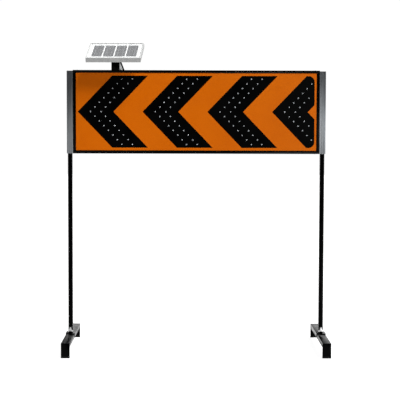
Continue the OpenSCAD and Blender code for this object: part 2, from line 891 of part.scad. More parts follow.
// Three-lobed knob along +Z: a collar, a hub and three arms with round ends
module lobed_head() {
    collar = 3;
    cylinder(d = hub_d - 4, h = collar + 1);
    translate([0, 0, collar]) cylinder(d = hub_d, h = lobe_t + 2);
    for (turn = [0, 120, 240]) {
        rotate([0, 0, turn]) translate([0, 0, collar]) union() {
            translate([-lobe_w / 2, 0, 0]) cube([lobe_w, lobe_reach, lobe_t]);
            translate([0, lobe_reach, 0]) cylinder(d = lobe_w, h = lobe_t);
        }
    }
}

// A knob with its screw along -Z from the collar's underside
module clamp_knob(screw_reach) {
    union() {
        lobed_head();
        translate([0, 0, -screw_reach]) cylinder(d = stud_d, h = screw_reach + 1);
    }
}

// A nut-like knob on the tilt screw's right end
module tilt_knob() {
    color("silver") on_swivel() translate([ear_x + ear_t + knob_gap, 0, axis_z]) rotate([90, 0, 90])
        difference() {
            lobed_head();
            translate([0, 0, -cut]) cylinder(d = stud_bore, h = 6);
        }
}

module base_knob(side) {
    seat = post_w / 2 + boss_h + knob_gap;
    color("silver") translate([side * post_x, -seat, knob_z]) rotate([90, 0, 0])
        clamp_knob(seat - spigot_w / 2 - tip_gap);
}

module head_knob(side) {
    seat = back_y + boss_h + knob_gap;
    color("silver") translate([side * post_x, seat, head_knob_z]) rotate([-90, 0, 0])
        clamp_knob(seat - post_w / 2 - tip_gap);
}

// ---- Solar panel ----

module solar_frame() {
    color("whitesmoke") on_panel() difference() {
        translate([-panel_w / 2, -panel_l / 2, panel_rise]) cube([panel_w, panel_l, panel_d]);
        translate([-inner_w / 2, -inner_l / 2, panel_rise - cut]) cube([inner_w, inner_l, panel_d - panel_wall + cut]);
        translate([-panel_w / 2 + panel_lip, -panel_l / 2 + panel_lip, panel_rise])
            cube([panel_w - 2 * panel_lip, panel_l - 2 * panel_lip, panel_d + cut]);
    }
}

// A centred sheet of the laminate between two heights
module laminate(low, high) {
    translate([-laminate_w / 2, -laminate_l / 2, low]) cube([laminate_w, laminate_l, high - low]);
}

module solar_glass() {
    color([0.8, 0.85, 0.9, 0.4]) on_panel() laminate(cells_top, glass_top);
}

module solar_cells() {
    color([0.45, 0.47, 0.52]) on_panel() for (i = [0 : cell_cols - 1], j = [0 : cell_rows - 1]) {
        translate([i * (cell_w + cell_col_gap) - cells_w / 2, j * (cell_l + cell_row_gap) - cells_l / 2,
            backsheet_top]) cube([cell_w, cell_l, cell_t]);
    }
}

module solar_back_sheet() {
    color("white") on_panel() laminate(backsheet_bottom, backsheet_top);
}

// Channel-shaped rail across the underside with the lug for the tilt screw
module panel_rail() {
    color([0.1, 0.1, 0.1]) on_panel() difference() {
        union() {
            difference() {
                translate([-rail_w / 2, -inner_l / 2, panel_rise]) cube([rail_w, inner_l, rail_t]);
                translate([rail_wall - rail_w / 2, -inner_l / 2 - cut, panel_rise + rail_wall])
                    cube([rail_w - 2 * rail_wall, inner_l + 2 * cut, rail_t]);
            }
            translate([-lug_w / 2, -lug_r, 0]) cube([lug_w, 2 * lug_r, panel_rise + 1]);
            x_rod(-lug_w / 2, 0, 0, 2 * lug_r, lug_w);
        }
        x_rod(-lug_w, 0, 0, stud_bore, 2 * lug_w);
    }
}

module junction_box() {
    size = [64, 52, 15];
    place = [inner_w / 4, inner_l / 4];
    color([0.08, 0.08, 0.08]) on_panel() union() {
        translate([place[0] - size[0] / 2, place[1] - size[1] / 2, backsheet_bottom - size[2]]) cube(size);
        translate([place[0], place[1] - size[1] / 2 - 10, backsheet_bottom - size[2] / 2])
            rotate([-90, 0, 0]) cylinder(d = 11, h = 12);
    }
}

// ---- Posts and feet ----

module post(side) {
    color([0.03, 0.03, 0.03]) translate([side * post_x, 0, 0]) difference() {
        union() {
            translate([-post_w / 2, -post_w / 2, foot_socket_z]) cube([post_w, post_w, post_top - foot_socket_z]);
            y_rod(0, -post_w / 2 - boss_h, knob_z, boss_d, boss_h + 1);
        }
        translate([-post_w / 2 + post_wall, -post_w / 2 + post_wall, foot_socket_z - cut])
            cube([post_w - 2 * post_wall, post_w - 2 * post_wall, post_top - foot_socket_z + 2 * cut]);
        y_rod(0, -post_w / 2 - boss_h - cut, knob_z, stud_bore, boss_h + post_wall + 2 * cut);
    }
}

module foot_beam(side) {
    length = foot_len - 2 * plate_t;
    color([0.03, 0.03, 0.03]) translate([side * post_x, 0, foot_h - beam_h]) difference() {
        translate([-beam_w / 2, -length / 2, 0]) cube([beam_w, length, beam_h]);
        translate([-beam_w / 2 + beam_wall, -length / 2 - cut, beam_wall])
            cube([beam_w - 2 * beam_wall, length + 2 * cut, beam_h - 2 * beam_wall]);
    }
}

module end_plates(side) {
    color([0.03, 0.03, 0.03]) for (y = [-foot_len / 2, foot_len / 2 - plate_t]) {
        translate([side * post_x - plate_w / 2, y, pad_t]) cube([plate_w, plate_t, foot_h - pad_t]);
    }
}

// Saddle over the beam with the square spigot that the post drops over
module foot_socket(side) {
    saddle_w = beam_w + 2 * (skirt_gap + skirt_t);
    slot_w = beam_w + 2 * skirt_gap;
    color([0.03, 0.03, 0.03]) translate([side * post_x, 0, foot_h]) difference() {
        union() {
            difference() {
                translate([-saddle_w / 2, -saddle_len / 2, -skirt_h]) cube([saddle_w, saddle_len, skirt_h + saddle_t]);
                translate([-slot_w / 2, -saddle_len / 2 - cut, -skirt_h - cut])
                    cube([slot_w, saddle_len + 2 * cut, skirt_h + cut]);
            }
            translate([-spigot_w / 2, -spigot_w / 2, saddle_t - 1]) cube([spigot_w, spigot_w, spigot_len + 1]);
        }
        translate([-spigot_w / 2 + spigot_wall, -spigot_w / 2 + spigot_wall, saddle_t])
            cube([spigot_w - 2 * spigot_wall, spigot_w - 2 * spigot_wall, spigot_len + cut]);
    }
}

// U-shaped rubber strips around the end plates' lower edges
module edge_strips(side) {
    color([0.05, 0.05, 0.05]) for (y = [-foot_len / 2, foot_len / 2 - plate_t]) {
        translate([side * post_x - plate_w / 2, y, 0]) difference() {
            translate([0, -pad_t, 0]) cube([plate_w, plate_t + 2 * pad_t, pad_h]);
            translate([-cut, 0, pad_t]) cube([plate_w + 2 * cut, plate_t, pad_h]);
        }
    }
}

face_sheet();
chevron(0);  // chevron_1
chevron(1);  // chevron_2
chevron(2);  // chevron_3
chevron(3);  // chevron_4
leds(0);  // leds_1
leds(1);  // leds_2
leds(2);  // leds_3
leds(3);  // leds_4
led_boards();
frame_top();
frame_bottom();
frame_left();
frame_right();
side_channel(-1);  // side_channel_left
side_channel(1);  // side_channel_right
channel_caps();
channel_bolts();
back_cover();
stiffeners();
corner_brackets();
frame_screws();
cover_screws();
battery_box();
battery();
charge_controller();
door_hinge_pin();
box_gland();
box_door();
door_seal();
door_latch();
mode_knob();
solar_mast();
mast_gusset();
mast_brace();
mast_bolts();
swivel_cradle();
tilt_screw();
tilt_knob();
solar_frame();
solar_glass();
solar_cells();
solar_back_sheet();
panel_rail();
junction_box();
post(-1);  // post_left
post(1);  // post_right
head_knob(-1);  // head_knob_left
head_knob(1);  // head_knob_right
base_knob(-1);  // base_knob_left
base_knob(1);  // base_knob_right
foot_beam(-1);  // foot_beam_left
foot_beam(1);  // foot_beam_right
end_plates(-1);  // end_plates_left
end_plates(1);  // end_plates_right
foot_socket(-1);  // foot_socket_left
foot_socket(1);  // foot_socket_right
edge_strips(-1);  // edge_strips_left
edge_strips(1);  // edge_strips_right
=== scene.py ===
"""Looks of a solar LED chevron board: materials, rounded edges and fine detail around the CAD frame."""
import json
import math

import bmesh
import bpy
from mathutils import Matrix, Vector

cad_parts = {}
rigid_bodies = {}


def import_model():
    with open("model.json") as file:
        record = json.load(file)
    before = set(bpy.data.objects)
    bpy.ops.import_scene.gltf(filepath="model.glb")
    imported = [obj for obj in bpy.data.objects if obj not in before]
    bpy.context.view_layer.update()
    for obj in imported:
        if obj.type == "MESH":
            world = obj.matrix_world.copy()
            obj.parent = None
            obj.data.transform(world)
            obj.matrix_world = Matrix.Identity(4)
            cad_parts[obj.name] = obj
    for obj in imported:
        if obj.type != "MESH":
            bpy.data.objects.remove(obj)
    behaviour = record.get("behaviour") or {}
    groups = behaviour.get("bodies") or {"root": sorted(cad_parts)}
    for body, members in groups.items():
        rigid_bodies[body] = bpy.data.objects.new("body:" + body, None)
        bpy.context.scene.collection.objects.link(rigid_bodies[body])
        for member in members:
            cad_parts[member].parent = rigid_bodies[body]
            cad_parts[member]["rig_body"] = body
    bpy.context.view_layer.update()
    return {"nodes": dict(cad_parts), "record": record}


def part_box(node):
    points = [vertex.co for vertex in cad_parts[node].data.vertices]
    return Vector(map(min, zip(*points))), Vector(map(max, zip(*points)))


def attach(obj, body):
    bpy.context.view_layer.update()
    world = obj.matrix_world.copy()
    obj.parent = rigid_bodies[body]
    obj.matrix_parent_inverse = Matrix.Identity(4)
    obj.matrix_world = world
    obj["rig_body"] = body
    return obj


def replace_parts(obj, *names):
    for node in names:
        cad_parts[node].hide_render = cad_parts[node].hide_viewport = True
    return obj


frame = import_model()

nodes = frame["nodes"]
slot_of = {name: node.material_slots[0].material.name for name, node in nodes.items()}
# The plain CAD materials leave their names to the ones made here
for plain in list(bpy.data.materials):
    bpy.data.materials.remove(plain)
MM = 0.001


def panel_place():
    """The solar panel's own frame: origin on the tilt axis, X along it and Z out of the glass."""
    tilt = next(joint for joint in frame["record"]["behaviour"]["joints"] if joint["name"] == "panel_tilt")
    across = Vector(tilt["axis"]).normalized()
    glass = max(nodes["solar_glass"].data.polygons, key=lambda face: face.area)
    out = glass.normal * (1 if glass.normal.z > 0 else -1)
    turn = Matrix((across, out.cross(across), out)).transposed()
    return Matrix.Translation(tilt["pos_m"]) @ turn.to_4x4()


PANEL_PLACE = panel_place()

# ---- Camera, which comes first ----

CAMERA_PLACE = (-0.0696, -9.2676, 1.6534)
CAMERA_YAW = math.radians(0.605)
CAMERA_PITCH = math.radians(3.547)
CAMERA_ROLL = math.radians(0.162)
FOCAL_LENGTH_MM = 115.19
SENSOR_MM = 36.0


def make_camera():
    """A long lens a little below the middle of the sign head, looking slightly down and to the right."""
    data = bpy.data.cameras.new("camera")
    data.lens = FOCAL_LENGTH_MM
    data.sensor_width = SENSOR_MM
    camera = bpy.data.objects.new("camera", data)
    aim = Matrix.Rotation(-CAMERA_YAW, 4, "Z") @ Matrix.Rotation(math.pi / 2 - CAMERA_PITCH, 4, "X")
    camera.matrix_world = Matrix.Translation(CAMERA_PLACE) @ aim @ Matrix.Rotation(CAMERA_ROLL, 4, "Z")
    bpy.context.scene.collection.objects.link(camera)
    bpy.context.scene.camera = camera


# ---- Shader helpers ----

def rgb(red, green, blue):
    """A shader colour from screen values of 0 to 255."""
    def linear(value):
        value /= 255
        return value / 12.92 if value <= 0.04045 else ((value + 0.055) / 1.055) ** 2.4
    return (linear(red), linear(green), linear(blue), 1.0)


def grey(level):
    """A neutral shader colour."""
    return rgb(level, level, level)


class Look:
    """One procedural material: a Principled shader and the texture nodes in front of it."""

    def __init__(self, name, **constants):
        self.material = bpy.data.materials.new(name)
        self.material.use_nodes = True
        self.tree = self.material.node_tree
        shader = self.tree.nodes["Principled BSDF"]
        self.sockets = {socket.name.lower().replace(" ", "_"): socket for socket in shader.inputs}
        for key, value in constants.items():
            self.sockets[key].default_value = value

    def drive(self, key, source):
        self.tree.links.new(source, self.sockets[key])

    def add(self, kind, inputs, output=0, **settings):
        """A node's output. Each input is a constant or another node's output."""
        node = self.tree.nodes.new("ShaderNode" + kind)
        for key, value in settings.items():
            setattr(node, key, value)
        for key, value in inputs.items():
            if isinstance(value, bpy.types.NodeSocket):
                self.tree.links.new(value, node.inputs[key])
            else:
                node.inputs[key].default_value = value
        return node.outputs[output]

    def place(self, stretch=(1, 1, 1)):
        """The CAD place in metres, with each axis multiplied by its stretch."""
        coordinates = self.add("TexCoord", {}, output="Object")
        return self.add("Mapping", {"Vector": coordinates, "Scale": stretch})

    def noise(self, size, detail=2.0, stretch=(1, 1, 1)):
        """Noise from 0 to 1 whose features are about size metres wide."""
        return self.add("TexNoise", {"Vector": self.place(stretch), "Scale": 1 / size, "Detail": detail})

    def cells(self, size, output="Distance"):
        """Random cells about size metres wide."""
        return self.add("TexVoronoi", {"Vector": self.place(), "Scale": 1 / size}, output=output)

    def shade(self, colour):
        """One number from a grey or random colour."""
        return self.add("SeparateColor", {"Color": colour}, output="Red")

    def spread(self, value, start, end, low, high):
        """Maps start..end onto low..high and stays within it."""
        inputs = {"Value": value, "From Min": start, "From Max": end, "To Min": low, "To Max": high}
        return self.add("MapRange", inputs)

    def maths(self, operation, first, second):
        return self.add("Math", {0: first, 1: second}, operation=operation)

    def mix(self, factor, first, second):
        return self.add("MixRGB", {"Fac": factor, "Color1": first, "Color2": second})

    def attribute(self, name):
        return self.add("Attribute", {}, output="Fac", attribute_name=name)

    def relief(self, height, depth, strength):
        """Surface relief that is depth metres high where height is 1."""
        self.drive("normal", self.add("Bump", {"Height": height, "Distance": depth, "Strength": strength}))

    def vary(self, value, colour, other, low, high):
        """Colour runs from one value to the other and roughness from low to high along one texture."""
        self.drive("base_color", self.mix(self.spread(value, 0.35, 0.65, 0, 1), colour, other))
        self.drive("roughness", self.spread(value, 0.3, 0.7, low, high))


# ---- Materials ----

def powder_coat(name, colour, dusty, bare, low, high, specular):
    """Powder coat with orange peel, a thin film of dust and chipped edges."""
    look = Look(name, specular_ior_level=specular)
    dust = look.noise(0.09, detail=6.0)
    coat = look.mix(look.spread(dust, 0.42, 0.75, 0, 1), colour, dusty)
    chips = look.spread(look.noise(0.006, detail=5.0), 0.55, 0.62, 0, 1)
    worn = look.maths("MULTIPLY", look.attribute("wear"), chips)
    look.drive("base_color", look.mix(worn, coat, bare))
    look.drive("roughness", look.spread(look.noise(0.03, detail=4.0), 0.3, 0.7, low, high))
    look.relief(look.noise(0.0016, detail=1.0), 0.12 * MM, 0.35)
    return look.material


SHEETING_DIAMOND = 6.2 * MM


def orange_sheeting():
    """Fluorescent retroreflective sheeting: a fine lattice of sealed diamonds under a clear film."""
    look = Look("orange_sheet", specular_ior_level=0.03)
    place = look.place()
    across = look.add("SeparateXYZ", {"Vector": place}, output="X")
    up = look.add("SeparateXYZ", {"Vector": place}, output="Z")
    flat = look.add("CombineXYZ", {"X": across, "Y": up})
    turned = look.add("Mapping", {"Vector": flat, "Rotation": (0, 0, math.pi / 4)})
    lattice = look.add("TexVoronoi", {"Vector": turned, "Scale": 1 / SHEETING_DIAMOND, "Randomness": 0.0},
                       voronoi_dimensions="2D", feature="DISTANCE_TO_EDGE")
    seal = look.spread(lattice, 0.02, 0.1, 1, 0)
    wide = look.noise(0.35, detail=3.0)
    fine = look.noise(0.004, detail=3.0)
    tone = look.mix(look.spread(wide, 0.35, 0.65, 0, 1), rgb(177, 81, 0), rgb(184, 87, 1))
    speck = look.mix(look.spread(fine, 0.3, 0.7, 0, 0.22), tone, rgb(154, 62, 0))
    look.drive("base_color", look.mix(look.maths("MULTIPLY", seal, 0.45), speck, rgb(198, 110, 10)))
    look.drive("roughness", look.spread(look.noise(0.05, detail=4.0), 0.3, 0.7, 0.3, 0.42))
    look.relief(seal, 0.05 * MM, 0.5)
    return look.material


def black_film():
    """Cut vinyl film, a little softer than the paint, with faint stretch marks."""
    look = Look("black_film", specular_ior_level=0.015)
    look.vary(look.noise(0.14, detail=6.0), grey(0), grey(2), 0.26, 0.4)
    look.relief(look.noise(0.0022, detail=3.0, stretch=(1, 1, 0.35)), 0.1 * MM, 0.3)
    return look.material


def led_lens():
    """Water-clear resin, slightly frosted."""
    look = Look("led_lens", transmission_weight=0.45, ior=1.5, base_color=rgb(176, 180, 184))
    look.drive("roughness", look.spread(look.noise(0.003, detail=3.0), 0.3, 0.7, 0.1, 0.26))
    look.relief(look.noise(0.0012), 0.05 * MM, 0.2)
    return look.material


def extruded_metal(name, metallic, colour, other, low, high):
    """Extruded metal with draw lines along Z."""
    look = Look(name, metallic=metallic, anisotropic=0.35)
    lines = look.noise(0.0011, detail=4.0, stretch=(1, 1, 0.004))
    look.vary(look.noise(0.06, detail=5.0, stretch=(1, 1, 0.15)), colour, other, low, high)
    look.relief(lines, 0.12 * MM, 0.45)
    return look.material


def zinc():
    """Galvanised steel with soft spangles."""
    look = Look("zinc_steel", metallic=0.85)
    spangle = look.shade(look.cells(0.005, output="Color"))
    look.drive("base_color", look.mix(spangle, rgb(186, 190, 193), rgb(208, 211, 212)))
    look.drive("roughness", look.spread(spangle, 0, 1, 0.34, 0.52))
    look.relief(look.noise(0.0012, detail=3.0), 0.08 * MM, 0.3)
    return look.material


def cast_metal():
    """Bright die-cast zinc with a fine grain and soft patches, polished at its edges."""
    look = Look("knob_metal", metallic=0.8)
    grain = look.noise(0.0009, detail=4.0)
    patches = look.spread(look.noise(0.012, detail=4.0), 0.35, 0.65, 0, 1)
    tone = look.mix(patches, rgb(206, 207, 208), rgb(226, 226, 225))
    look.drive("base_color", look.mix(look.attribute("wear"), tone, rgb(240, 240, 238)))
    look.drive("roughness", look.spread(grain, 0.3, 0.7, 0.28, 0.48))
    look.relief(grain, 0.12 * MM, 0.45)
    return look.material


def moulded(name, colour, other):
    """Moulded plastic with a spark-eroded grain."""
    look = Look(name, specular_ior_level=0.4)
    look.vary(look.noise(0.05, detail=5.0), colour, other, 0.42, 0.6)
    look.relief(look.cells(0.0009), 0.1 * MM, 0.3)
    return look.material


def rubber():
    """Scuffed, dusty rubber."""
    look = Look("rubber", specular_ior_level=0.12)
    look.vary(look.noise(0.02, detail=8.0), grey(8), grey(18), 0.66, 0.85)
    look.relief(look.noise(0.0014, detail=4.0), 0.2 * MM, 0.6)
    return look.material


def circuit_board():
    """Green solder mask over tracks."""
    look = Look("circuit_board", coat_weight=0.3, coat_roughness=0.2)
    lines = look.shade(look.add("TexBrick", {"Vector": look.place(), "Scale": 90.0, "Mortar Size": 0.08}))
    tracks = look.spread(lines, 0.2, 0.8, 0, 0.5)
    look.drive("base_color", look.mix(tracks, rgb(18, 72, 40), rgb(38, 104, 60)))
    look.drive("roughness", look.spread(look.noise(0.01), 0.3, 0.7, 0.3, 0.45))
    look.relief(lines, 0.05 * MM, 0.4)
    return look.material


def panel_glass():
    """Low-iron solar glass, nearly clear, with a faint stipple and a thin film of dust."""
    look = Look("panel_glass", alpha=0.14, ior=1.5, base_color=rgb(250, 252, 252))
    look.drive("roughness", look.spread(look.noise(0.02, detail=4.0), 0.3, 0.7, 0.03, 0.12))
    look.relief(look.noise(0.0016), 0.04 * MM, 0.15)
    return look.material


FINGER_PITCH = 2.2 * MM
# Half the width of a printed finger, at its core and where it has faded out
FINGER_CORE = 0.06 * MM
FINGER_EDGE = 0.14 * MM


def panel_cells():
    """Silicon cells with an anti-reflective coat, a crystal grain and printed fingers across each strip."""
    look = Look("panel_cells", metallic=0.15, coat_weight=0.25, coat_roughness=0.12)
    crystal = look.shade(look.cells(0.006, output="Color"))
    turn = PANEL_PLACE.to_3x3().inverted().to_euler()
    flat = look.add("Mapping", {"Vector": look.place(), "Rotation": turn})
    along = look.add("SeparateXYZ", {"Vector": flat}, output="Y")
    away = look.maths("PINGPONG", along, FINGER_PITCH / 2)
    finger = look.spread(away, FINGER_CORE, FINGER_EDGE, 0.45, 0)
    silicon = look.mix(crystal, rgb(38, 38, 46), rgb(52, 52, 60))
    look.drive("base_color", look.mix(finger, silicon, rgb(118, 119, 124)))
    look.drive("roughness", look.spread(crystal, 0, 1, 0.32, 0.45))
    look.relief(crystal, 0.02 * MM, 0.3)
    return look.material


def panel_back():
    """White laminate film."""
    look = Look("panel_back", specular_ior_level=0.35)
    look.vary(look.noise(0.05, detail=5.0), rgb(236, 237, 237), rgb(246, 246, 245), 0.4, 0.55)
    look.relief(look.noise(0.002, detail=2.0), 0.05 * MM, 0.3)
    return look.material


# How far below its top face the frame turns from the painted shade of the walls to the painted highlight of
# the lips
LIP_HIGHLIGHT_START = 1.6 * MM
LIP_HIGHLIGHT_END = 0.7 * MM


def panel_frame():
    """Silver anodised aluminium with a random grain: the rolled lips are painted bright as a highlight, and
    the outer walls are painted duller as shade.
    """
    look = Look("panel_frame", metallic=0.25, specular_ior_level=0.4)
    turn = PANEL_PLACE.inverted()
    settings = {"Vector": look.place(), "Rotation": turn.to_euler(), "Location": turn.to_translation()}
    height = look.add("SeparateXYZ", {"Vector": look.add("Mapping", settings)}, output="Z")
    top = max((turn @ vert.co).z for vert in nodes["solar_frame"].data.vertices)
    # Painted highlight: the lips, which face up towards the light, are painted lighter than the walls
    lip_highlight_mask = look.spread(height, top - LIP_HIGHLIGHT_START, top - LIP_HIGHLIGHT_END, 0, 1)
    grain = look.spread(look.noise(0.03, detail=5.0), 0.35, 0.65, 0, 1)
    # Painted shade: the outer walls are painted darker, with a random grain in their tone
    wall_grain_and_shade = look.mix(grain, rgb(142, 143, 143), rgb(154, 154, 153))
    look.drive("base_color", look.mix(lip_highlight_mask, wall_grain_and_shade, rgb(208, 209, 208)))
    look.drive("roughness", look.spread(grain, 0, 1, 0.3, 0.42))
    look.relief(look.noise(0.0008, detail=3.0), 0.05 * MM, 0.3)
    return look.material


MATERIALS = {
    "orange_sheet": orange_sheeting(),
    "black_film": black_film(),
    "led_lens": led_lens(),
    "circuit_board": circuit_board(),
    "black_coat": powder_coat("black_coat", grey(0), grey(4), grey(48), 0.14, 0.3, 0.03),
    "grey_channel": extruded_metal("grey_channel", 0.8, rgb(88, 91, 94), rgb(102, 104, 106), 0.3, 0.4),
    "grey_plastic": moulded("grey_plastic", grey(84), grey(96)),
    "zinc_steel": zinc(),
    "cover_sheet": powder_coat("cover_sheet", grey(38), grey(52), grey(120), 0.38, 0.5, 0.4),
    "battery_case": moulded("battery_case", grey(40), grey(48)),
    "controller_case": moulded("controller_case", rgb(30, 52, 92), rgb(36, 60, 102)),
    "rubber": rubber(),
    "knob_metal": cast_metal(),
    "black_plastic": moulded("black_plastic", grey(20), grey(29)),
    "panel_frame": panel_frame(),
    "panel_glass": panel_glass(),
    "panel_cells": panel_cells(),
    "panel_back": panel_back(),
}

# The gusset is bare metal with a brighter face than the channels
GUSSET_METAL = extruded_metal("gusset_metal", 0.3, rgb(224, 228, 229), rgb(234, 237, 237), 0.4, 0.5)


def finish_of(name):
    """The material of a CAD node."""
    return GUSSET_METAL if name == "mast_gusset" else MATERIALS[slot_of[name]]


for name, node in nodes.items():
    node.data.materials.clear()
    node.data.materials.append(finish_of(name))

# ---- Mesh helpers ----

FLAT_ANGLE = math.radians(0.5)
SHARP_ANGLE = math.radians(35)
SAME_PLACE = 0.001 * MM


def link(name, mesh, body, slot):
    """A new piece on a body, with the material of its slot."""
    piece = bpy.data.objects.new(name, mesh)
    bpy.context.scene.collection.objects.link(piece)
    if not mesh.materials:
        mesh.materials.append(MATERIALS[slot])
    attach(piece, body)
    return piece


def rounded_mesh(mesh, radius, segments):
    """A mesh with its sharp edges rounded, and wear marked along them."""
    work = bpy.data.objects.new("work", mesh)
    bpy.context.scene.collection.objects.link(work)
    # The rounded faces get a slot of their own, which shows where the wear is
    mesh.materials.append(mesh.materials[0])
    bevel = work.modifiers.new("bevel", "BEVEL")
    bevel.width = radius
    bevel.segments = segments
    bevel.limit_method = "ANGLE"
    bevel.angle_limit = SHARP_ANGLE
    bevel.harden_normals = True
    bevel.material = 1
    dependencies = bpy.context.evaluated_depsgraph_get()
    rounded = bpy.data.meshes.new_from_object(work.evaluated_get(dependencies))
    bpy.data.objects.remove(work)
    flat = {v for face in rounded.polygons if face.material_index == 0 for v in face.vertices}
    wear = rounded.attributes.new("wear", "FLOAT", "POINT")
    wear.data.foreach_set("value", [float(v.index not in flat) for v in rounded.vertices])
    for face in rounded.polygons:
        face.material_index = 0
    rounded.materials.pop(index=1)
    return rounded


def soften(name, radius, segments=2):
    """A copy of a CAD node with its sharp edges rounded; it stands for the node."""
    node = nodes[name]
    work = bmesh.new()
    work.from_mesh(node.data)
    bmesh.ops.remove_doubles(work, verts=work.verts, dist=SAME_PLACE)
    bmesh.ops.dissolve_limit(work, angle_limit=FLAT_ANGLE, verts=work.verts, edges=work.edges)
    for face in work.faces:
        face.smooth = True
    mesh = bpy.data.meshes.new(name + "_finished")
    work.to_mesh(mesh)
    work.free()
    mesh.materials.append(finish_of(name))
    piece = link(name + "_finished", rounded_mesh(mesh, radius, segments), node["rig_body"], slot_of[name])
    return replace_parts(piece, name)


ROUNDED = {
    0.5 * MM: ["side_channel_left", "side_channel_right", "mast_gusset", "back_cover", "panel_rail"],
    1.0 * MM: ["frame_top", "frame_bottom", "frame_left", "frame_right", "solar_mast", "swivel_cradle",
               "channel_caps", "mast_brace", "box_door", "mode_knob", "junction_box", "foot_socket_left",
               "foot_socket_right", "end_plates_left", "end_plates_right"],
    2.0 * MM: ["post_left", "post_right", "battery_box", "battery", "charge_controller", "foot_beam_left",
               "foot_beam_right", "edge_strips_left", "edge_strips_right"],
}
CAST = ["base_knob_left", "base_knob_right", "head_knob_left", "head_knob_right", "tilt_knob", "door_latch"]
CAST_ROUND = 1.6 * MM

for radius, names in ROUNDED.items():
    for name in names:
        soften(name, radius)
for name in CAST:
    soften(name, CAST_ROUND, segments=3)

# ---- Shapes in mesh code ----

HEX_FLAT = math.cos(math.pi / 6)
SIXTH_TURN = math.pi / 3


def corners(points):
    """The lowest and highest corner round some points."""
    low = Vector([min(point[axis] for point in points) for axis in range(3)])
    high = Vector([max(point[axis] for point in points) for axis in range(3)])
    return low, high


def islands(name):
    """The lowest and highest corner of each separate solid in a CAD node."""
    work = bmesh.new()
    work.from_mesh(nodes[name].data)
    bmesh.ops.remove_doubles(work, verts=work.verts, dist=SAME_PLACE)
    waiting = set(work.verts)
    found = []
    while waiting:
        front = [waiting.pop()]
        points = []
        while front:
            vert = front.pop()
            points.append(vert.co.copy())
            near = {edge.other_vert(vert) for edge in vert.link_edges} & waiting
            waiting -= near
            front += near
        found.append(corners(points))
    work.free()
    return sorted(found, key=lambda pair: [round(pair[0][axis], 4) for axis in (0, 2, 1)])


def lathe(work, profile, place, segments=32, hexes=()):
    """Turns (radius, height) points about Z and puts the form in place; the rings in hexes are six-sided."""
    rings = []
    for index, (radius, height) in enumerate(profile):
        ring = []
        for step in range(segments if radius else 1):
            angle = 2 * math.pi * step / segments
            reach = radius
            if index in hexes:
                reach *= HEX_FLAT / math.cos(angle % SIXTH_TURN - SIXTH_TURN / 2)
            point = Vector((reach * math.cos(angle), reach * math.sin(angle), height))
            ring.append(work.verts.new(place @ point))
        rings.append(ring)
    for lower, upper in zip(rings, rings[1:]):
        for step in range(segments):
            loop = [(lower, step), (lower, step + 1), (upper, step + 1), (upper, step)]
            work.faces.new(dict.fromkeys(ring[index % len(ring)] for ring, index in loop))


def slab(work, low, high, place=Matrix()):
    """A block between two corners, put in place."""
    low, high = Vector(low), Vector(high)
    size = Matrix.Diagonal((*(high - low), 1))
    bmesh.ops.create_cube(work, size=1, matrix=place @ Matrix.Translation((low + high) / 2) @ size)


def finish_piece(work, name, body, slot, radius=0.0):
    """A linked piece from a finished form; its sharp edges are rounded where a radius is given."""
    bmesh.ops.recalc_face_normals(work, faces=work.faces)
    for face in work.faces:
        face.smooth = True
    mesh = bpy.data.meshes.new(name)
    work.to_mesh(mesh)
    work.free()
    mesh.materials.append(MATERIALS[slot])
    if radius:
        mesh = rounded_mesh(mesh, radius, 2)
    else:
        mesh.set_sharp_from_angle(angle=SHARP_ANGLE)
    return link(name, mesh, body, slot)


def facing(place, direction):
    """A frame at a place whose Z runs along a direction."""
    turn = Vector(direction).to_track_quat("Z", "Y").to_matrix().to_4x4()
    return Matrix.Translation(place) @ turn


# ---- LEDs ----

LED_FLANGE = 1.2 * MM
LED_FLANGE_T = 1.0 * MM
DOME_STEPS = 8
# The die: half its width, and how far its rear and front lie behind the dome's centre
DIE_HALF = 0.5 * MM
DIE_REAR = 0.8 * MM
DIE_FRONT = 0.5 * MM


def led_profile(flange_r, length):
    """A lens from its rear face: the flange, the barrel and the dome."""
    barrel_r = flange_r - LED_FLANGE
    centre = length - barrel_r
    angles = [step * math.pi / 2 / DOME_STEPS for step in range(DOME_STEPS)]
    dome = [(barrel_r * math.cos(angle), centre + barrel_r * math.sin(angle)) for angle in angles]
    return [(0, 0), (flange_r, 0), (flange_r, LED_FLANGE_T), (barrel_r, LED_FLANGE_T), *dome, (0, length)]


def led_cup(centre):
    """The bright reflector bowl inside a lens, which opens towards the dome."""
    shape = [(0, -1.4), (2.2, -1.4), (3.5, 1.0), (3.7, 1.6), (3.3, 1.6), (3.1, 1.0), (1.5, -0.6), (0, -0.8)]
    return [(radius * MM, centre + height * MM) for radius, height in shape]


def led_row(name):
    """Lenses, reflector cups and dies of one chevron's LEDs."""
    lenses, cups, dies = bmesh.new(), bmesh.new(), bmesh.new()
    for low, high in islands(name):
        middle = (low + high) / 2
        place = facing((middle.x, high.y, middle.z), (0, -1, 0))
        flange_r = (high.x - low.x) / 2
        length = high.y - low.y
        centre = length - flange_r + LED_FLANGE
        lathe(lenses, led_profile(flange_r, length), place, segments=24)
        lathe(cups, led_cup(centre), place, segments=20)
        slab(dies, (-DIE_HALF, -DIE_HALF, centre - DIE_REAR), (DIE_HALF, DIE_HALF, centre - DIE_FRONT), place)
    body = nodes[name]["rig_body"]
    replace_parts(finish_piece(lenses, name + "_lenses", body, "led_lens"), name)
    finish_piece(cups, name + "_cups", body, "zinc_steel")
    finish_piece(dies, name + "_dies", body, "black_plastic")


for name in ["leds_1", "leds_2", "leds_3", "leds_4"]:
    led_row(name)

# ---- Screws ----

HEAD_H = 2.5 * MM
SOCKET_SHARE = 0.48


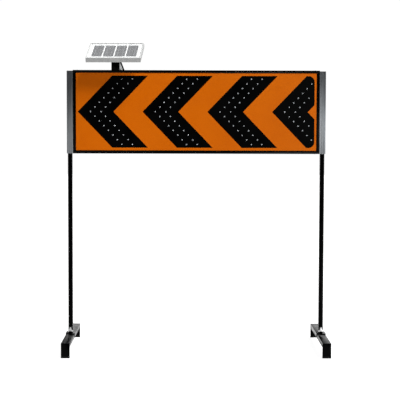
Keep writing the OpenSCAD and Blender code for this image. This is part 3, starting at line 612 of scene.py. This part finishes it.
def socket_screw(work, seat, direction, head_r, head_h, shank_r, shank):
    """A button-head screw with a hexagon socket; its head sits on the seat."""
    socket = SOCKET_SHARE * head_r
    profile = [(0, -shank), (shank_r, -shank), (shank_r, 0), (head_r, 0), (head_r, 0.3 * head_h),
               (0.93 * head_r, 0.62 * head_h), (0.78 * head_r, 0.88 * head_h), (0.6 * head_r, head_h),
               (1.06 * socket, head_h), (socket, 0.94 * head_h), (socket, 0.3 * head_h), (0, 0.3 * head_h)]
    lathe(work, profile, facing(seat, direction), segments=24, hexes=(9, 10))


def screw_set(name, direction_of):
    """The screws of a CAD node, each along the direction that direction_of gives for its middle."""
    work = bmesh.new()
    for low, high in islands(name):
        middle = (low + high) / 2
        half = (high - low) / 2
        direction = direction_of(middle)
        reach = max(half)
        seat = middle + direction * (reach - HEAD_H)
        socket_screw(work, seat, direction, min(half), HEAD_H, min(half) / 2, 2 * reach - HEAD_H)
    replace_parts(finish_piece(work, name + "_finished", nodes[name]["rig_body"], "zinc_steel"), name)


face_low, face_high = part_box("face_sheet")
head_middle = (face_low[2] + face_high[2]) / 2
screw_set("cover_screws", lambda middle: Vector((0, 1, 0)))
screw_set("frame_screws", lambda middle: Vector((0, 0, 1 if middle.z > head_middle else -1)))

# ---- Solar panel ----

FRAME_WALL = 2 * MM
FRAME_LIP = 9 * MM
MITRE_GAP = 0.12 * MM
RIBBON_W = 1.6 * MM
RIBBON_T = 0.1 * MM
# How far the junction box's cable entry stands out in front of the box
ENTRY_LEN = 10 * MM
LID_INSET = 2 * MM
LID_T = 1.6 * MM
LID_SCREW_INSET = 8 * MM
LID_SCREW_R = 2.6 * MM
LID_SCREW_H = 1.4 * MM
LID_SHANK_R = 1.2 * MM


def panel_corners(points):
    """Corners of some points in the panel's own frame."""
    back = PANEL_PLACE.inverted()
    return corners([back @ point for point in points])


def node_points(name):
    """Every point of a CAD node's mesh."""
    return [vert.co for vert in nodes[name].data.vertices]


def solar_frame():
    """Four mitred angle bars round the glass."""
    low, high = panel_corners(node_points("solar_frame"))
    half = (high - low) / 2
    depth = high.z - low.z
    section = [(0, 0), (0, depth), (FRAME_LIP, depth), (FRAME_LIP, depth - FRAME_WALL),
               (FRAME_WALL, depth - FRAME_WALL), (FRAME_WALL, 0)]
    work = bmesh.new()
    for quarter in range(4):
        length, reach = (half.x, half.y) if quarter % 2 == 0 else (half.y, half.x)
        middle = (low + high) / 2
        place = PANEL_PLACE @ Matrix.Translation((middle.x, middle.y, low.z))
        place = place @ Matrix.Rotation(quarter * math.pi / 2, 4, "Z")
        ends = []
        for side in (-1, 1):
            ring = [Vector((side * (length - inward - MITRE_GAP), inward - reach, height))
                    for inward, height in section]
            ends.append([work.verts.new(place @ point) for point in ring])
        work.faces.new(ends[0])
        work.faces.new(reversed(ends[1]))
        for step in range(len(section)):
            after = (step + 1) % len(section)
            work.faces.new([ends[0][step], ends[0][after], ends[1][after], ends[1][step]])
    body = nodes["solar_frame"]["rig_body"]
    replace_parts(finish_piece(work, "solar_frame_bars", body, "panel_frame", radius=0.5 * MM), "solar_frame")


def solar_ribbons():
    """Silver ribbons that join the strips of each column, and the columns to one another."""
    back = PANEL_PLACE.inverted()
    cells = [back @ ((low + high) / 2) for low, high in islands("solar_cells")]
    low, high = panel_corners(node_points("solar_cells"))
    columns = sorted({round(cell.x, 4) for cell in cells})
    rows = sorted({round(cell.y, 4) for cell in cells})
    strip = (high.y - low.y) - (rows[-1] - rows[0])
    width = (high.x - low.x) - (columns[-1] - columns[0])
    front, rear = low.y - strip / 4, high.y + strip / 4
    work = bmesh.new()

    def ribbon(x0, x1, y0, y1):
        slab(work, (x0, y0, high.z - RIBBON_T / 2), (x1, y1, high.z + RIBBON_T / 2), PANEL_PLACE)

    for column in columns:
        for middle in (column - width / 4, column + width / 4):
            ribbon(middle - RIBBON_W / 2, middle + RIBBON_W / 2, front, rear)
    for index, (column, after) in enumerate(zip(columns, columns[1:])):
        level = rear if index % 2 == 0 else front
        ribbon(column - width / 4, after + width / 4, level - RIBBON_W, level + RIBBON_W)
    finish_piece(work, "solar_ribbons", nodes["solar_cells"]["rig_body"], "zinc_steel")


def junction_lid():
    """A raised lid with four screws on the junction box."""
    low, high = panel_corners(node_points("junction_box"))
    front = low.y + ENTRY_LEN
    level = low.z - LID_T
    body = nodes["junction_box"]["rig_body"]
    lid = bmesh.new()
    slab(lid, (low.x + LID_INSET, front + LID_INSET, level), (high.x - LID_INSET, high.y - LID_INSET, low.z),
         PANEL_PLACE)
    finish_piece(lid, "junction_lid", body, "black_plastic", radius=0.7 * MM)
    screws = bmesh.new()
    down = PANEL_PLACE.to_3x3() @ Vector((0, 0, -1))
    for x in (low.x + LID_SCREW_INSET, high.x - LID_SCREW_INSET):
        for y in (front + LID_SCREW_INSET, high.y - LID_SCREW_INSET):
            seat = PANEL_PLACE @ Vector((x, y, level))
            socket_screw(screws, seat, down, LID_SCREW_R, LID_SCREW_H, LID_SHANK_R, LID_T)
    finish_piece(screws, "junction_screws", body, "zinc_steel")


solar_frame()
solar_ribbons()
junction_lid()

# ---- Battery box ----

GLAND_H = 18 * MM
DOOR_MARGIN = 22 * MM
# Detail pieces reach this far into what they sit on
ROOT = 0.5 * MM
PRESSING_H = 1.6 * MM
# The battery's terminals: their height, and how far their middles lie from its ends and its front
TERMINAL_H = 8 * MM
TERMINAL_INSET = 15 * MM
BATTERY_LID_INSET = 1.5 * MM
BATTERY_LID_H = 1.8 * MM
BATTERY_LID_SKIRT = 1 * MM


def box_of(name):
    """The lowest and highest corner of a CAD node, as vectors."""
    low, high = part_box(name)
    return Vector(low), Vector(high)


def gland():
    """A cable gland: hexagon body, hexagon dome nut and an open throat."""
    low, high = box_of("box_gland")
    radius = (high.x - low.x) / 2
    # Shares of the gland's radius, and heights in millimetres
    shape = [(0, 0), (0.99, 0), (0.99, 4.6), (0.8, 5.2), (0.8, 6.4), (0.93, 7.0), (0.93, 12.0), (0.86, 13.4),
             (0.74, 16.2), (0.6, 17.7), (0.45, 18), (0.3, 17.4), (0.27, 6), (0, 6)]
    profile = [(share * radius, height * MM) for share, height in shape]
    work = bmesh.new()
    seat = ((low.x + high.x) / 2, (low.y + high.y) / 2, high.z - GLAND_H)
    lathe(work, profile, facing(seat, (0, 0, 1)), segments=48, hexes=(1, 2, 5, 6))
    body = nodes["box_gland"]["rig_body"]
    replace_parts(finish_piece(work, "gland_finished", body, "black_plastic"), "box_gland")


def door_panel():
    """The stiffening panel pressed into the door, clear of its latch."""
    low, high = box_of("box_door")
    latch_left = box_of("door_latch")[0].x
    work = bmesh.new()
    slab(work, (low.x + 1.6 * DOOR_MARGIN, high.y - ROOT, low.z + DOOR_MARGIN),
         (latch_left - DOOR_MARGIN / 2, high.y + PRESSING_H, high.z - DOOR_MARGIN))
    finish_piece(work, "door_panel", nodes["box_door"]["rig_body"], "black_coat", radius=1.4 * MM)


def battery_detail():
    """A lid with a lip on the battery, and lead collars round its terminals."""
    low, high = box_of("battery")
    top = high.z - TERMINAL_H
    body = nodes["battery"]["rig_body"]
    lid = bmesh.new()
    slab(lid, (low.x + BATTERY_LID_INSET, low.y + BATTERY_LID_INSET, top - BATTERY_LID_SKIRT),
         (high.x - BATTERY_LID_INSET, high.y - BATTERY_LID_INSET, top + BATTERY_LID_H))
    finish_piece(lid, "battery_lid", body, "battery_case", radius=0.8 * MM)
    # Radius and height of the collar and the post in it, in millimetres
    shape = [(0, 0), (6.5, 0), (6.5, 2.6), (5.6, 3.4), (4.3, 3.6), (4.2, 7.4), (3.6, 8.1), (0, 8.1)]
    profile = [(radius * MM, height * MM) for radius, height in shape]
    posts = bmesh.new()
    for x in (low.x + TERMINAL_INSET, high.x - TERMINAL_INSET):
        lathe(posts, profile, facing((x, low.y + TERMINAL_INSET, top), (0, 0, 1)))
    finish_piece(posts, "battery_terminals", body, "knob_metal")


DISPLAY_H = 0.9 * MM
STRIP_H = 3 * MM
STRIP_SCREWS = 6
STRIP_SCREW_R = 2.2 * MM
STRIP_SCREW_H = 1 * MM
STRIP_SHANK_R = 1 * MM
STRIP_SHANK = 2 * MM
BUTTONS = 3


def controller_detail():
    """Display, buttons and a screw terminal strip on the charge controller."""
    low, high = box_of("charge_controller")
    size = high - low
    body = nodes["charge_controller"]["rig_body"]

    def spot(across, up, height):
        """A point at shares of the controller's width and height, and some way out of its face."""
        return Vector((low.x + across * size.x, high.y + height, low.z + up * size.z))

    trim = bmesh.new()
    slab(trim, spot(0.16, 0.52, -ROOT), spot(0.62, 0.88, DISPLAY_H))
    slab(trim, spot(0.08, 0.06, -ROOT), spot(0.92, 0.3, STRIP_H))
    finish_piece(trim, "controller_trim", body, "black_plastic", radius=0.4 * MM)
    screws = bmesh.new()
    for step in range(STRIP_SCREWS):
        seat = spot(0.16 + 0.136 * step, 0.18, STRIP_H)
        socket_screw(screws, seat, (0, 1, 0), STRIP_SCREW_R, STRIP_SCREW_H, STRIP_SHANK_R, STRIP_SHANK)
    finish_piece(screws, "controller_screws", body, "zinc_steel")
    buttons = bmesh.new()
    profile = [(0, 0), (2.6 * MM, 0), (2.6 * MM, 0.9 * MM), (2.1 * MM, 1.4 * MM), (0, 1.6 * MM)]
    for step in range(BUTTONS):
        lathe(buttons, profile, facing(spot(0.8, 0.58 + 0.12 * step, 0), (0, 1, 0)), segments=20)
    finish_piece(buttons, "controller_buttons", body, "grey_plastic")


MARK_W = 1.6 * MM
MARK_H = 0.25 * MM
# How far from the knob's middle the mark starts and ends
MARK_START = 3 * MM
MARK_END = 9.5 * MM


def mode_mark():
    """The pale pointer mark on the mode knob's bar."""
    low, high = box_of("mode_knob")
    middle = (low + high) / 2
    work = bmesh.new()
    slab(work, (high.x - ROOT, middle.y - MARK_W / 2, middle.z + MARK_START),
         (high.x + MARK_H, middle.y + MARK_W / 2, middle.z + MARK_END))
    finish_piece(work, "mode_mark", nodes["mode_knob"]["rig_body"], "panel_back", radius=0.1 * MM)


gland()
door_panel()
battery_detail()
controller_detail()
mode_mark()

# ---- Stage, lights and world ----

FLOOR_HALF = 30.0
# The floor is a light table, which keeps the sign's own shadow faint
FLOOR_GLOW = 0.9
# Axis, where the ramp starts and ends along it, and the brightness at either end
BACKDROP_RAMPS = [("Y", -0.25, 0.1, 0.05, 1.02), ("Z", 0.3, 0.9, 1.0, 0.2)]


def make_floor():
    """A wide pale floor."""
    mesh = bpy.data.meshes.new("floor")
    outline = [(x * FLOOR_HALF, y * FLOOR_HALF, 0) for x, y in ((-1, -1), (1, -1), (1, 1), (-1, 1))]
    mesh.from_pydata(outline, [], [(0, 1, 2, 3)])
    floor = bpy.data.objects.new("floor", mesh)
    glow = {"emission_color": grey(255), "emission_strength": FLOOR_GLOW}
    look = Look("studio_floor", specular_ior_level=0.1, **glow)
    look.vary(look.noise(0.8), grey(152), grey(156), 0.7, 0.8)
    mesh.materials.append(look.material)
    bpy.context.scene.collection.objects.link(floor)


def reflection_panel(name, place, target, width, height, watts):
    """A lit panel that shows only as a soft highlight in metal and paint."""
    data = bpy.data.lights.new(name, "AREA")
    data.shape = "RECTANGLE"
    data.size = width
    data.size_y = height
    data.energy = watts
    light = bpy.data.objects.new(name, data)
    light.location = place
    light.rotation_euler = (Vector(target) - Vector(place)).to_track_quat("-Z", "Y").to_euler()
    light.visible_diffuse = False
    bpy.context.scene.collection.objects.link(light)


def sun(name, elevation, azimuth, strength, softness):
    """A broad, far light; elevation and azimuth are in degrees, and azimuth 0 stands in front of the sign."""
    data = bpy.data.lights.new(name, "SUN")
    data.energy = strength
    data.angle = math.radians(softness)
    light = bpy.data.objects.new(name, data)
    light.rotation_euler = (math.radians(90 - elevation), 0, math.radians(azimuth))
    bpy.context.scene.collection.objects.link(light)


def make_world():
    """A backdrop that looks white all round, and lights the object mostly from behind."""
    world = bpy.data.worlds.new("studio")
    world.use_nodes = True
    links = world.node_tree.links
    tree = world.node_tree.nodes
    direction = tree.new("ShaderNodeTexCoord")
    split = tree.new("ShaderNodeSeparateXYZ")
    links.new(direction.outputs["Generated"], split.inputs["Vector"])
    product = tree.new("ShaderNodeMath")
    product.operation = "MULTIPLY"
    for index, (axis, start, end, low, high) in enumerate(BACKDROP_RAMPS):
        ramp = tree.new("ShaderNodeMapRange")
        for key, value in zip(("From Min", "From Max", "To Min", "To Max"), (start, end, low, high)):
            ramp.inputs[key].default_value = value
        links.new(split.outputs[axis], ramp.inputs["Value"])
        links.new(ramp.outputs["Result"], product.inputs[index])
    # The camera sees full white, while the light on the object follows the two ramps
    seen = tree.new("ShaderNodeLightPath")
    backdrop = tree.new("ShaderNodeMath")
    backdrop.operation = "MAXIMUM"
    links.new(seen.outputs["Is Camera Ray"], backdrop.inputs[0])
    links.new(product.outputs["Value"], backdrop.inputs[1])
    links.new(backdrop.outputs["Value"], tree["Background"].inputs["Strength"])
    tree["Background"].inputs["Color"].default_value = (1, 1, 1, 1)
    bpy.context.scene.world = world


make_camera()
make_floor()
make_world()
sun("key", elevation=54, azimuth=48, strength=4.9, softness=22)
reflection_panel("right_panel", place=(3.0, -7.5, 1.8), target=(0.9, 0, 1.7),
                 width=1.6, height=2.6, watts=160)
bpy.context.scene.view_settings.view_transform = "Standard"
